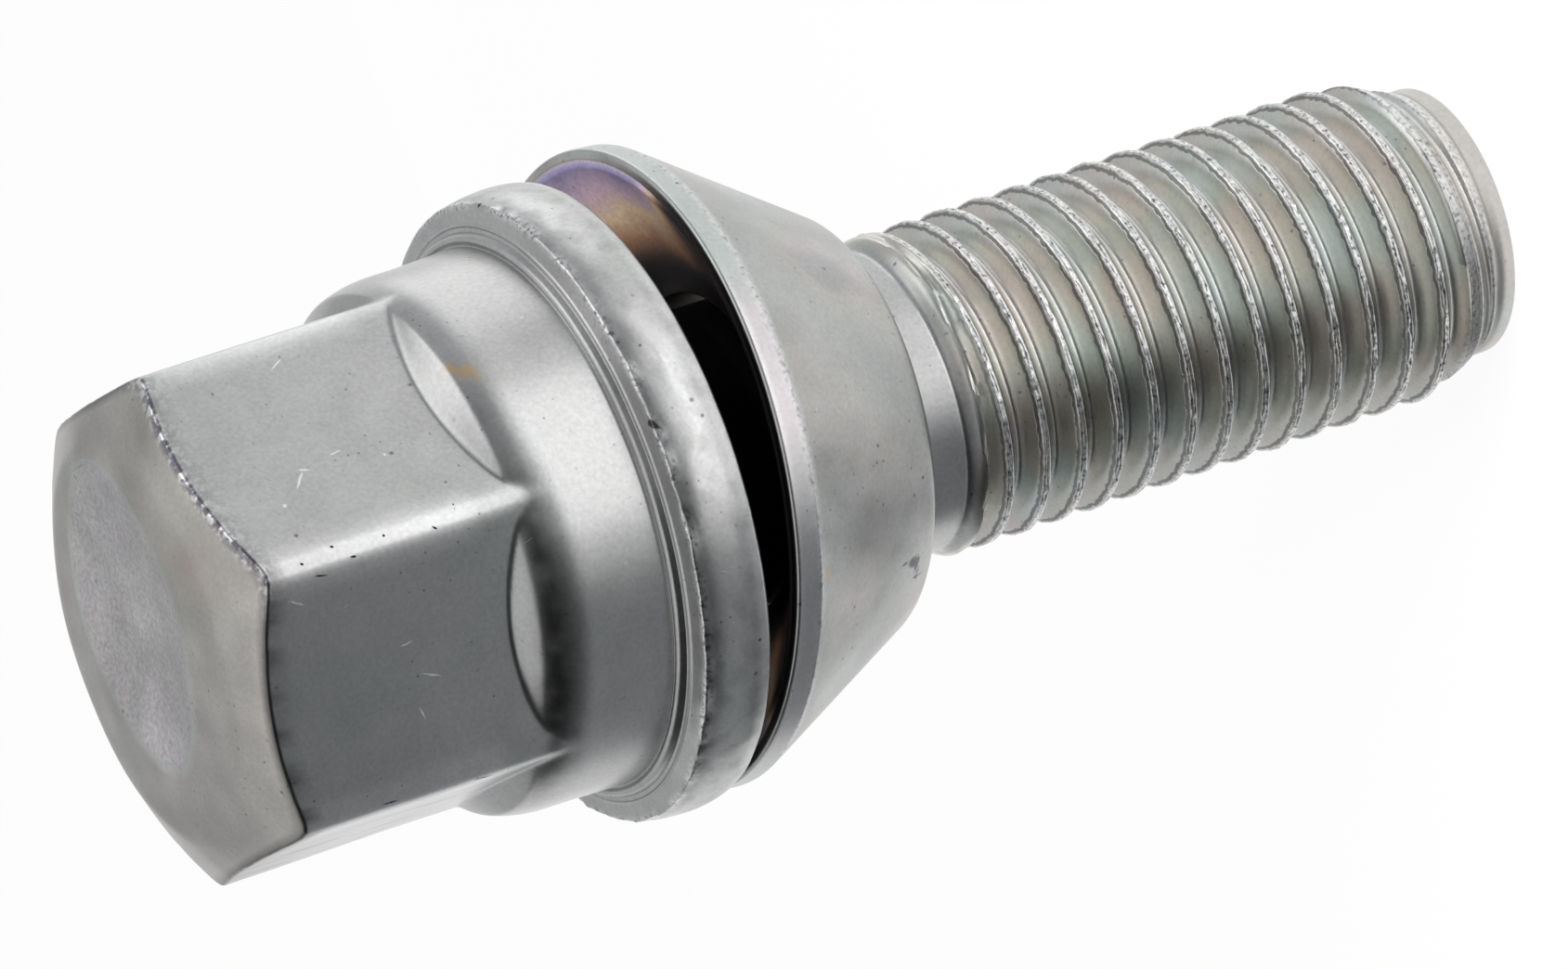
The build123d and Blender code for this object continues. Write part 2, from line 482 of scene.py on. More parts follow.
def weather_bolt(points):
    """Forged unevenness: waves over the head, a ragged flange edge and an end out of square.

    Gives the masks that the plate's material reads, painted light and shade among them.
    """
    radius = np.linalg.norm(points[:, :2], axis=1)
    outward = points[:, :2] / np.maximum(radius, 1e-6)[:, None]
    height = points[:, 2].copy()
    angle = np.arctan2(points[:, 1], points[:, 0])

    head = smooth_step(*head_zone, height)
    waves = waviness(points, 10, 11) * 0.015 + waviness(points, 3.2, 12) * 0.0025
    trim = np.exp(-((radius - trim_radius) ** 2 + (height - flange_top) ** 2) / 0.16**2)
    ragged = waviness(points, 1.1, 13) * 0.016 + waviness(points, 0.5, 14) * 0.012
    dents = -0.012 * np.abs(waviness(points, 2.4, 25)) * smooth_step(11.1, 11.3, radius)
    points[:, :2] += outward * (head * waves + trim * ragged + dents)[:, None]
    points[:, 2] += trim * waviness(points, 0.8, 15) * 0.018

    reach = hex_reach(angle)
    scallop = hex_end(reach)
    burr = hump(height, scallop, 0.12) * smooth_step(-0.3, -0.1, radius - reach)
    lip = np.abs(waviness(points, 0.9, 16)) * 0.012 + waviness(points, 0.45, 17) * 0.006
    points[:, :2] += outward * (burr * lip)[:, None]

    upper = smooth_step(*tilt_zone, height)
    points[:, 2] += upper * end_tilt * (points[:, :2] @ picture_near)
    end = smooth_step(*end_zone, height)
    points[:, 2] += end * waviness(points, 5, 18) * 0.012

    threaded = smooth_step(thread_shoulder[1], thread_shoulder[0], height)
    crests = smooth_step(22.2, 21.7, height) * smooth_step(1.2, 2.6, height)
    land = smooth_step(-0.09, -0.04, radius - taper_reach(height)) * smooth_step(0.85, 0.95, height)
    land = land * smooth_step(3.2, 2.6, height)
    tip = smooth_step(0.85, 0.75, height)
    tip_line = hump(height, tip_band, 0.05)
    # Painted shade: a broken darker band on the flange rim just under the trimmed edge
    under_trim_shade = smooth_step(11.1, 11.25, radius) * hump(height, flange_top - 0.35, 0.3)
    under_trim_shade = under_trim_shade * smooth_step(-2.2, 0.8, waviness(points, 2.4, 22))
    degrees = np.degrees(angle)
    top_flat = smooth_step(40, 28, np.abs(degrees + 30))
    below = scallop - height
    face = smooth_step(-0.3, 0.1, -below) * smooth_step(hex_top - 1.2, hex_top - 0.6, height)
    hexed = smooth_step(*hex_zone, height) * (1 - face)
    sliver = smooth_step(24, 16, np.abs(degrees + 150)) * hexed
    front = front_share(angle)
    # Painted shade: the neck and the flange's underside blackened in the gap between flange and washer
    deep_shade = smooth_step(bore_middle - 1, bore_middle + 2, height) * smooth_step(9.0, 7.5, radius)
    deep_shade = deep_shade * smooth_step(flange_bottom + 0.2, flange_bottom, height)
    # Painted shade: a dark line just under the edge where the chamfer cuts the hex, on the front flats only
    front_edge_shade = 0.6 * front * smooth_step(-0.1, 0.0, below) * hump(below, 0, 0.6)
    front_edge_shade = front_edge_shade * smooth_step(-1.2, 1.0, waviness(points, 1.0, 26))
    scuffs = sliver * smooth_step(0.2, 1.3, waviness(points * (1, 1, 0.2), 0.8, 31))

    # Painted shade: the collar's shoulder below the hex darkened in a broken band, on the front side only
    fold_shade = front * hump(height, fold_shade_height, 0.4)
    fold_shade = fold_shade * smooth_step(-2.2, 1.0, waviness(points, 0.9, 27))
    rim = smooth_step(11.2, 11.35, radius)

    burnished = smooth_step(9.2, 9.5, radius) * hexed
    upward = points[:, :2] @ picture_up
    nearward = points[:, :2] @ picture_near
    from_dimple = lens_share((upward - dimple_centre) / dimple_length, nearward / dimple_width)
    pressed = face * smooth_step(1.02, 0.94, from_dimple)
    chamfer = hump(radius, 6.9, 1.0) * (1 - pressed)
    brink = smooth_step(-0.9, -0.1, radius - reach)
    dimple_line = hump(from_dimple, 1, 0.018)
    blotch = np.exp(-((points[:, 0] - 4.5) ** 2 + (points[:, 1] + 4.9) ** 2) / 0.9**2)
    # Painted light and shade of the end's curve: lighter at the brink of the hex, a little darker round the
    # crown's edge
    end_tone = 0.85 + 0.1 * brink - 0.03 * chamfer + 0.13 * pressed + 0.15 * dimple_line
    end_tone = end_tone + 0.05 * waviness(points, 4.5, 23) + 0.03 * waviness(points, 1.7, 24)
    end_hue = 0.56 + 0.38 * pressed - 0.05 * blotch
    hue = 0.7 + threaded * (np.clip(0.08 * waviness(points, 4, 19), -0.05, 0.2) - 0.09)
    # Painted light: the threaded part is a third lighter, making up for the shade in its grooves
    tone = 1 + 0.33 * threaded - 0.24 * under_trim_shade - 0.6 * fold_shade - 0.18 * tip
    rim_tone = 0.08 - 0.16 * smooth_step(0.1, 1.3, waviness(points, 0.9, 33))
    rim_tone = rim_tone + 0.2 * smooth_step(35.0, 34.6, height)
    tone = tone + rim * rim_tone + 0.22 * burnished - 0.3 * scuffs
    soot_and_shade = np.maximum.reduce([deep_shade, front_edge_shade, 0.75 * burr * (1 - top_flat), 0.5 * tip_line])
    return {
        "torn": np.maximum(trim * smooth_step(-1.6, 0.4, waviness(points, 1.8, 29)), 0.6 * land),
        "burr": burr * top_flat,
        "threads": crests,
        "film": np.maximum(0.08 + 0.17 * threaded, (0.24 + 0.33 * blotch) * face),
        "hue": hue + (end_hue - hue) * face,
        "soot_and_shade": soot_and_shade,
        "pitted": np.maximum(0.25, rim),
        "tone": tone + (end_tone - 1) * face,
        "grainy": pressed,
    }


def washer_mesh():
    """Vertices and faces of the washer: a closed section turned about the axis."""
    angles = column_angles(washer_columns)
    bore_top = bore_middle + bore_length / 2
    band_low = washer_back - washer_band
    recess_middle_radius = (recess_radius + bore_radius) / 2 - recess_bulge
    recess_middle_height = (washer_back + bore_top) / 2 - recess_bulge
    section = path_rings(
        angles,
        [
            (bore_radius, bore_middle - bore_length / 2, 0, 6),
            (bore_radius, bore_top, 0.1, 4),
            (recess_middle_radius, recess_middle_height, 1.4, 4),
            (recess_radius, washer_back, 0.1, 3),
            (washer_radius, washer_back, 0.16, 4),
            (washer_radius, band_low, 0.07, 26),
            (cone_end_radius, cone_end_height, 0.35, 5),
            (bore_radius + bore_lead, cone_end_height, 0.12, 3),
            (bore_radius, bore_middle - bore_length / 2, 0, 1),
        ],
    )
    parts = MeshParts()
    rings = [parts.add_ring(turned(angles, ring)) for ring in section[:-1]]
    parts.bridge_all(rings + rings[:1])
    return parts


def film_washer(points):
    """Masks of the washer: a strong film in the recess, a faint one on band and cone, and painted shade in
    the recess and on the near side of its back face.
    """
    radius = np.linalg.norm(points[:, :2], axis=1)
    height = points[:, 2]
    cone_slope = (washer_radius - cone_end_radius) / cone_height
    cone = washer_radius - (washer_back - washer_band - height) * cone_slope
    hollow = smooth_step(bore_middle - bore_length / 2, bore_middle + 2.0, height)
    recess = hollow * smooth_step(0.3, 0.5, np.minimum(cone, washer_radius) - radius)
    band = smooth_step(washer_radius - 0.1, washer_radius, radius)
    round_picture = np.degrees(np.arctan2(points[:, :2] @ picture_near, points[:, :2] @ picture_up))
    # Painted shade on the near side: there the recess's film turns near black and the back face is blackened
    shaded_near_side = smooth_step(27, 44, round_picture) * smooth_step(158, 142, round_picture)
    recess_hue = 0.5 * (recess_radius - radius) / (recess_radius - bore_radius)
    recess_hue = recess_hue + (0.41 - recess_hue) * shaded_near_side
    band_hue = 0.78 + 0.14 * smooth_step(55, 75, round_picture) + 0.08 * smooth_step(85, 105, round_picture)
    cone_hue = 0.66 + 0.08 * waviness(points, 5, 20)
    back = smooth_step(washer_back - 0.4, washer_back - 0.25, height)
    back = back * smooth_step(0.05, 0.13, washer_radius - radius)
    low_side = smooth_step(80, 105, round_picture) * smooth_step(160, 140, round_picture)
    streaks = waviness(points * (1, 1, 0.12), 2.6, 30) * (1 - band)
    edge = np.exp(-((radius - washer_radius) ** 2 + (height - (washer_back - washer_band)) ** 2) / 0.1**2)
    # Painted shade: the recess blackened towards the bore, deep in the gap
    deep_shade = smooth_step(bore_radius + 2.4, bore_radius + 0.9, radius) * recess
    cone_tone = 0.07 * streaks - 0.04
    cone_tone = cone_tone - (0.03 + 0.05 * low_side) * smooth_step(0.5, 1.5, waviness(points, 1.3, 32))
    return {
        "torn": 0.5 * edge,
        "burr": np.zeros(len(points)),
        "threads": np.zeros(len(points)),
        "film": np.maximum(0.15, np.maximum(recess, 0.3 * band)),
        "hue": np.where(recess > 0.5, recess_hue, cone_hue + (band_hue - cone_hue) * band),
        "soot_and_shade": np.maximum(deep_shade, 0.9 * back * shaded_near_side),
        "pitted": np.maximum(0.6 + 0.4 * low_side, band),
        "tone": 1 + cone_tone * (1 - band) * (1 - recess) + 0.1 * band,
        "grainy": recess,
    }


def rock_washer(points):
    """Tips the washer on the neck, as it lies in the photograph."""
    tilt = math.radians(washer_tilt)
    x = points[:, 0].copy()
    z = points[:, 2] - bore_middle
    points[:, 0] = x * math.cos(tilt) + z * math.sin(tilt)
    points[:, 2] = bore_middle - x * math.sin(tilt) + z * math.cos(tilt)


def make_object(name, points, faces, masks):
    """A smooth-shaded object in metres, with its masks kept as attributes of the vertices."""
    mesh = bpy.data.meshes.new(name)
    mesh.from_pydata((points * MM).tolist(), [], faces)
    for mask, values in masks.items():
        attribute = mesh.attributes.new(mask, "FLOAT", "POINT")
        attribute.data.foreach_set("value", np.asarray(values, dtype=np.float32))
    work = bmesh.new()
    work.from_mesh(mesh)
    loose = [vertex for vertex in work.verts if not vertex.link_faces]
    bmesh.ops.delete(work, geom=loose, context="VERTS")
    bmesh.ops.recalc_face_normals(work, faces=work.faces)
    work.to_mesh(mesh)
    work.free()
    mesh.shade_smooth()
    mesh.set_sharp_from_angle(angle=math.radians(50))
    piece = bpy.data.objects.new(name, mesh)
    bpy.context.scene.collection.objects.link(piece)
    weighted = piece.modifiers.new("even_shading", "WEIGHTED_NORMAL")
    weighted.keep_sharp = True
    return piece


def build_bolt():
    """The bolt with its masks."""
    parts = bolt_mesh()
    points = np.array(parts.points)
    masks = weather_bolt(points)
    return make_object("bolt_worn", points, parts.faces, masks)


def build_washer():
    """The washer with its masks, made before it is rocked."""
    parts = washer_mesh()
    points = np.array(parts.points)
    masks = film_washer(points)
    rock_washer(points)
    return make_object("washer_worn", points, parts.faces, masks)


bolt = build_bolt()
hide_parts("bolt")
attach(bolt, "bolt")

washer = build_washer()
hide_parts("conical_washer")
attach(washer, "washer")


class Nodes:
    """Short forms for adding nodes to one node tree."""

    def __init__(self, tree):
        self.tree = tree
        self.coordinates = None

    def add(self, kind, inputs=(), **settings):
        """A node with its settings, and with values or sockets on its named or numbered inputs."""
        node = self.tree.nodes.new(kind)
        for key, value in settings.items():
            setattr(node, key, value)
        for key, value in dict(inputs).items():
            if isinstance(value, bpy.types.NodeSocket):
                self.tree.links.new(value, node.inputs[key])
            else:
                node.inputs[key].default_value = value
        return node

    def math(self, operation, first, second=0.0, third=0.0):
        """One sum on sockets or numbers."""
        node = self.add("ShaderNodeMath", {0: first, 1: second, 2: third}, operation=operation)
        return node.outputs[0]

    def between(self, value, low, high):
        """0 where a value is below low, 1 where it is above high, smooth between; low may be the larger."""
        inputs = {"Value": value, "From Min": low, "From Max": high}
        node = self.add("ShaderNodeMapRange", inputs, interpolation_type="SMOOTHSTEP")
        return node.outputs["Result"]

    def place(self):
        """The object's own coordinates, in metres."""
        if self.coordinates is None:
            self.coordinates = self.add("ShaderNodeTexCoord").outputs["Object"]
        return self.coordinates

    def stretched(self, turn, scale):
        """The object's coordinates turned by degrees about X, Y and Z and then scaled."""
        inputs = {"Vector": self.place(), "Rotation": [math.radians(angle) for angle in turn], "Scale": scale}
        return self.add("ShaderNodeMapping", inputs, vector_type="TEXTURE").outputs["Vector"]

    def noise(self, size, detail=3.0, vector=None):
        """Noise with features of about that many millimetres."""
        inputs = {"Vector": vector or self.place(), "Scale": 1 / (size * MM), "Detail": detail}
        return self.add("ShaderNodeTexNoise", inputs).outputs["Fac"]

    def specks(self, spacing, radius, share, vector=None):
        """1 inside scattered specks: spacing and radius in millimetres, and the share of places with one."""
        inputs = {"Vector": vector or self.place(), "Scale": 1 / (spacing * MM)}
        cells = self.add("ShaderNodeTexVoronoi", inputs)
        lot = self.add("ShaderNodeSeparateColor", {0: cells.outputs["Color"]}).outputs[0]
        picked = self.math("LESS_THAN", lot, share)
        inside = self.between(cells.outputs["Distance"], radius / spacing, 0.35 * radius / spacing)
        return self.math("MULTIPLY", picked, inside)

    def ramp(self, value, *stops):
        """Colours along a value: each stop is (value, colour)."""
        node = self.add("ShaderNodeValToRGB", {"Fac": value})
        elements = node.color_ramp.elements
        while len(elements) < len(stops):
            elements.new(0.5)
        for element, (position, colour) in zip(elements, stops):
            element.position = position
            element.color = (*colour, 1)
        return node.outputs["Color"]

    def blend(self, share, first, second, how="MIX"):
        """Two colours, sockets or (red, green, blue), put together."""
        node = self.add("ShaderNodeMix", data_type="RGBA", blend_type=how)
        for socket, value in zip((node.inputs[0], node.inputs[6], node.inputs[7]), (share, first, second)):
            if isinstance(value, bpy.types.NodeSocket):
                self.tree.links.new(value, socket)
            elif isinstance(value, tuple):
                socket.default_value = (*value, 1)
            else:
                socket.default_value = value
        return node.outputs[2]

    def mask(self, name, output="Fac"):
        """An attribute that the mesh carries on its vertices."""
        return self.add("ShaderNodeAttribute", attribute_name=name).outputs[output]

    def spot(self, centre, turn, reach, vector):
        """1 inside a long round spot: its centre and half lengths in millimetres, turned about X, Y and Z."""
        inputs = {
            "Vector": vector,
            "Location": [value * MM for value in centre],
            "Rotation": [math.radians(angle) for angle in turn],
            "Scale": [value * MM for value in reach],
        }
        local = self.add("ShaderNodeMapping", inputs, vector_type="TEXTURE").outputs["Vector"]
        length = self.add("ShaderNodeVectorMath", {0: local}, operation="LENGTH").outputs["Value"]
        return self.between(length, 1.0, 0.55)

    def spots(self, marks, vector):
        """1 inside any of several spots."""
        found = 0.0
        for centre, turn, reach in marks:
            found = self.math("MAXIMUM", self.spot(centre, turn, reach, vector), found)
        return found

    def thread_place(self):
        """Share of the pitch from the thread's nearest crest, -0.5 to 0.5 and rising towards the head."""
        x, y, z = self.add("ShaderNodeSeparateXYZ", {0: self.place()}).outputs
        turn = self.math("MULTIPLY", self.math("ARCTAN2", y, x), 1 / FULL_TURN)
        climb = self.math("MULTIPLY_ADD", z, 1 / (thread_pitch * MM), 0.5 - crest_height / thread_pitch)
        return self.math("SUBTRACT", self.math("FRACT", self.math("SUBTRACT", climb, turn)), 0.5)

    def line(self, value, centre, half):
        """1 where a value is near a centre, fading to 0 at half a width from it."""
        return self.between(self.math("ABSOLUTE", self.math("SUBTRACT", value, centre)), half, 0.5 * half)

    def shaken(self, size, reach):
        """The object's coordinates, shaken by noise so that marks lose their smooth outline."""
        inputs = {"Vector": self.place(), "Scale": 1 / (size * MM), "Detail": 2.0}
        noise = self.add("ShaderNodeTexNoise", inputs).outputs["Color"]
        centred = self.add("ShaderNodeVectorMath", {0: noise, 1: (0.5, 0.5, 0.5)}, operation="SUBTRACT")
        inputs = {0: centred.outputs[0], "Scale": reach * MM}
        shift = self.add("ShaderNodeVectorMath", inputs, operation="SCALE").outputs[0]
        return self.add("ShaderNodeVectorMath", {0: self.place(), 1: shift}, operation="ADD").outputs[0]


def zinc_material(name, scratches, gouges, stains, blots):
    """Clear zinc plate on steel: satin grey, faint colours of its film, specks, scratches and torn edges."""
    material = bpy.data.materials.new(name)
    material.use_nodes = True
    tree = material.node_tree
    shader = tree.nodes["Principled BSDF"]
    nodes = Nodes(tree)

    # Grey of the plate, in broad clouds and fine grain
    clouds = nodes.noise(7, 3)
    colour = nodes.ramp(
        clouds,
        (0.32, (0.468, 0.48, 0.472)),
        (0.5, (0.492, 0.492, 0.494)),
        (0.68, (0.502, 0.492, 0.497)),
    )
    mottle = nodes.noise(1.6, 4)
    shades = nodes.ramp(mottle, (0.3, (0.92, 0.92, 0.92)), (0.7, (1.05, 1.05, 1.05)))
    colour = nodes.blend(1.0, colour, shades, "MULTIPLY")
    grain = nodes.noise(0.16, 3)
    shades = nodes.ramp(grain, (0.25, (0.88, 0.88, 0.88)), (0.75, (1.1, 1.1, 1.1)))
    colour = nodes.blend(1.0, colour, shades, "MULTIPLY")

    # Colours of the film: those of the washer's recess first, then the pale ones of thin film; the near-black
    # stops at 0.38 and 0.44 are painted shade, reached deep in the recess and on its near side
    place = nodes.thread_place()
    threads = nodes.mask("threads")
    hue = nodes.math("ADD", nodes.mask("hue"), nodes.math("MULTIPLY_ADD", nodes.noise(1.8, 2), 0.12, -0.06))
    film = nodes.ramp(
        hue,
        (0.0, (0.24, 0.21, 0.36)),
        (0.09, (0.66, 0.48, 0.60)),
        (0.18, (0.94, 0.70, 0.46)),
        (0.28, (0.45, 0.24, 0.14)),
        (0.38, (0.06, 0.03, 0.03)),
        (0.44, (0.06, 0.04, 0.04)),
        (0.5, (0.62, 0.45, 0.40)),
        (0.58, (0.54, 0.50, 0.38)),
        (0.68, (0.45, 0.51, 0.42)),
        (0.8, (0.47, 0.56, 0.53)),
        (0.92, (0.58, 0.49, 0.52)),
        (1.0, (0.48, 0.48, 0.49)),
    )
    below_crest = nodes.between(place, -0.36, -0.2)
    below_crest = nodes.math("MULTIPLY", below_crest, nodes.math("LESS_THAN", place, -0.16))
    rainbow = nodes.math("MULTIPLY", nodes.math("MULTIPLY", below_crest, threads), 0.5)
    colour = nodes.blend(nodes.math("ADD", nodes.mask("film"), rainbow), colour, film)
    colour = nodes.blend(1.0, colour, nodes.mask("tone", "Color"), "MULTIPLY")
    coarse = nodes.ramp(nodes.noise(0.17, 2), (0.35, (0.87, 0.87, 0.87)), (0.65, (1.12, 1.12, 1.12)))
    colour = nodes.blend(nodes.mask("grainy"), colour, nodes.blend(1.0, colour, coarse, "MULTIPLY"))

    # Dark specks, pits and cuts, and pale short scratches
    clusters = nodes.between(nodes.noise(3, 2), 0.42, 0.6)
    specks = nodes.math("MULTIPLY", nodes.specks(0.42, 0.065, 0.5), clusters)
    pits = nodes.specks(1.1, 0.11, 0.2)
    patches = nodes.between(nodes.noise(1.4, 2), 0.45, 0.6)
    peppered = nodes.math("MULTIPLY", nodes.specks(0.5, 0.1, 0.4), patches)
    peppered = nodes.math("MULTIPLY", peppered, nodes.mask("pitted"))
    dark = nodes.math("MAXIMUM", nodes.math("MULTIPLY", specks, 0.6), nodes.math("MULTIPLY", pits, 0.6))
    dark = nodes.math("MAXIMUM", dark, nodes.math("MULTIPLY", peppered, 0.8))
    cuts = nodes.specks(1.5, 0.075, 0.4, nodes.stretched((-50, 30, 15), (0.4, 0.4, 2.6)))
    dark = nodes.math("MAXIMUM", dark, nodes.math("MULTIPLY", cuts, 0.45))
    rough_place = nodes.shaken(0.35, 0.16)
    gouged = nodes.spots(gouges, rough_place)
    dark = nodes.math("MAXIMUM", dark, gouged)
    colour = nodes.blend(dark, colour, (0.05, 0.05, 0.056))
    along = nodes.specks(2.4, 0.1, 0.3, nodes.stretched((10, 20, 35), (0.35, 0.35, 3.6)))
    askew = nodes.specks(2.6, 0.1, 0.3, nodes.stretched((70, -25, 10), (0.35, 3.0, 0.35)))
    fine = nodes.math("MULTIPLY", nodes.math("MAXIMUM", along, askew), 0.6)
    scored = nodes.math("MAXIMUM", fine, nodes.spots(scratches, rough_place))
    colour = nodes.blend(nodes.math("MULTIPLY", scored, 0.75), colour, (0.86, 0.86, 0.86))

    # Brown stains, and dark blots broken up by their grain
    cloudy = nodes.between(nodes.noise(0.5, 3), 0.36, 0.58)
    stained = nodes.math("MULTIPLY", nodes.spots(stains, rough_place), nodes.math("MULTIPLY", cloudy, 0.8))
    colour = nodes.blend(stained, colour, (0.66, 0.48, 0.27))
    broken = nodes.between(nodes.noise(0.3, 3), 0.28, 0.48)
    blotted = nodes.math("MULTIPLY", nodes.spots(blots, rough_place), broken)
    colour = nodes.blend(nodes.math("MULTIPLY", blotted, 0.85), colour, (0.08, 0.075, 0.1))

    # Torn metal on thread crests and the trimmed flange edge, and the dark and bright burr at the hex's end
    ragged = nodes.noise(0.17, 3)
    shaky_place = nodes.math("ADD", place, nodes.math("MULTIPLY_ADD", nodes.noise(0.35, 2), 0.08, -0.06))
    strip = nodes.math("MULTIPLY", nodes.line(shaky_place, 0.0, 0.09), threads)
    folds = nodes.math("MAXIMUM", nodes.line(place, -0.11, 0.038), nodes.line(place, -0.18, 0.034))
    folds = nodes.math("MAXIMUM", folds, nodes.math("MULTIPLY", nodes.line(shaky_place, 0.11, 0.03), 0.7))
    folds = nodes.math("MULTIPLY", folds, threads)
    colour = nodes.blend(nodes.math("MULTIPLY", folds, 0.9), colour, (0.05, 0.05, 0.055))
    torn = nodes.math("MAXIMUM", nodes.mask("torn"), strip)
    shreds = nodes.ramp(ragged, (0.34, (0.09, 0.09, 0.1)), (0.43, (0.58, 0.58, 0.58)), (0.6, (0.9, 0.9, 0.9)))
    colour = nodes.blend(nodes.math("MULTIPLY", torn, 0.8), colour, shreds)
    burr = nodes.mask("burr")
    flakes = nodes.noise(0.32, 2)
    curls = nodes.ramp(
        flakes,
        (0.42, (0.06, 0.05, 0.09)),
        (0.5, (0.3, 0.29, 0.33)),
        (0.58, (0.85, 0.85, 0.86)),
    )
    colour = nodes.blend(nodes.math("MULTIPLY", burr, 0.85), colour, curls)

    # Soot along the burr and the tip's edge, and painted shade: in the gap between flange and washer, deep in
    # the washer's recess, on the near side of its back face and under the front of the hex end's edge; and
    # the bottoms of gouges
    soot_and_shade_share = nodes.math("MULTIPLY", nodes.mask("soot_and_shade"), 0.93)
    black = nodes.math("MAXIMUM", soot_and_shade_share, nodes.math("MULTIPLY", gouged, 0.85))
    colour = nodes.blend(black, colour, (0.015, 0.016, 0.018))
    tree.links.new(colour, shader.inputs["Base Color"])

    # The coloured recess is a dull oxide where no soot or painted shade lies, the rest is satin metal
    oxide = nodes.math("GREATER_THAN", nodes.mask("film"), 0.6)
    oxide = nodes.math("MULTIPLY", oxide, nodes.math("SUBTRACT", 1.0, soot_and_shade_share))
    tree.links.new(nodes.math("MULTIPLY_ADD", oxide, -0.7, 1.0), shader.inputs["Metallic"])
    roughness = nodes.math("MULTIPLY_ADD", mottle, 0.08, 0.29)
    roughness = nodes.math("MULTIPLY_ADD", scored, -0.1, roughness)
    roughness = nodes.math("MULTIPLY_ADD", nodes.mask("grainy"), 0.12, roughness)
    tree.links.new(roughness, shader.inputs["Roughness"])

    # Relief: grain everywhere, sunk pits, torn edges and folds
    relief = nodes.math("MULTIPLY_ADD", grain, 0.25, nodes.math("MULTIPLY", mottle, 0.5))
    relief = nodes.math("MULTIPLY_ADD", pits, -0.6, relief)
    relief = nodes.math("MULTIPLY_ADD", nodes.math("MULTIPLY", torn, ragged), 1.6, relief)
    relief = nodes.math("MULTIPLY_ADD", folds, -0.8, relief)
    relief = nodes.math("MULTIPLY_ADD", nodes.math("MULTIPLY", burr, flakes), 3.0, relief)
    bump = nodes.add("ShaderNodeBump", {"Height": relief, "Strength": 0.5, "Distance": 0.02 * MM})
    tree.links.new(bump.outputs["Normal"], shader.inputs["Normal"])
    return material


# Single marks of wear: centre, turn about X, Y and Z, and half lengths across and along
bolt_scratches = (
    ((6.64, -5.5, 48.65), (140, 0, -30), (0.12, 0.5, 0.06)),
    ((6.8, -5.2, 48.3), (70, 0, -30), (0.12, 0.25, 0.05)),
    ((9.12, -1.2, 46.97), (115, 0, -30), (0.12, 0.35, 0.045)),
    ((6.95, -4.95, 46.93), (100, 0, -30), (0.12, 0.32, 0.04)),
    ((6.22, -6.23, 49.67), (0, 0, -30), (0.12, 0.1, 0.1)),
    ((6.59, -5.58, 45.36), (0, 0, -30), (0.12, 0.09, 0.06)),
    ((-0.52, -8.5, 46.12), (70, 0, -90), (0.12, 0.5, 0.045)),
    ((-1.78, -8.5, 46.66), (20, 0, -90), (0.12, 0.32, 0.045)),
    ((0.9, -8.5, 46.9), (100, 0, -90), (0.12, 0.3, 0.04)),
    ((3.64, -8.5, 50.77), (60, 0, -90), (0.12, 0.42, 0.05)),
)
bolt_gouges = (
    ((6.35, -9.33, 36.94), (40, 0, -56), (0.3, 0.45, 0.15)),
    ((11.13, 2.17, 36.93), (90, 0, 11), (0.2, 0.22, 0.1)),
    ((4.35, -8.55, 49.7), (80, 0, -75), (0.2, 0.35, 0.04)),
    ((4.9, -8.3, 50.3), (60, 0, -60), (0.15, 0.09, 0.06)),
    ((5.1, -8.15, 49.0), (30, 0, -60), (0.15, 0.08, 0.06)),
    ((4.6, -8.45, 48.4), (75, 0, -60), (0.15, 0.14, 0.05)),
    ((4.95, -8.25, 47.1), (20, 0, -60), (0.15, 0.07, 0.07)),
    ((4.7, -8.4, 45.2), (50, 0, -60), (0.15, 0.11, 0.05)),
    ((5.2, -8.1, 44.2), (10, 0, -60), (0.15, 0.08, 0.06)),
    ((-4.95, -8.2, 44.6), (80, 0, -125), (0.2, 0.45, 0.035)),
    ((-5.3, -7.95, 46.6), (97, 0, -140), (0.2, 0.6, 0.03)),
    ((-4.7, -8.45, 48.3), (85, 0, -112), (0.2, 0.35, 0.04)),
    ((-5.6, -7.8, 50.1), (75, 0, -145), (0.2, 0.5, 0.035)),
)
bolt_stains = (
    ((8.43, -4.83, 41.7), (35, 0, -30), (0.45, 0.95, 0.4)),
)
washer_stains = (
    ((-0.2, -11.3, 31.9), (0, 0, -91), (0.4, 0.35, 0.2)),
)
washer_blots = (
    ((-2.46, -7.98, 26.88), (60, 0, -107), (0.5, 0.55, 0.3)),
    ((-2.9, -7.85, 26.72), (15, 0, -110), (0.4, 0.32, 0.22)),
    ((-3.3, -7.65, 26.55), (70, 0, -113), (0.4, 0.45, 0.13)),
    ((-2.2, -8.2, 27.5), (80, 0, -105), (0.4, 0.3, 0.1)),
)

bolt.data.materials.append(zinc_material("bolt_zinc", bolt_scratches, bolt_gouges, bolt_stains, ()))
washer.data.materials.append(zinc_material("washer_zinc", (), (), washer_stains, washer_blots))


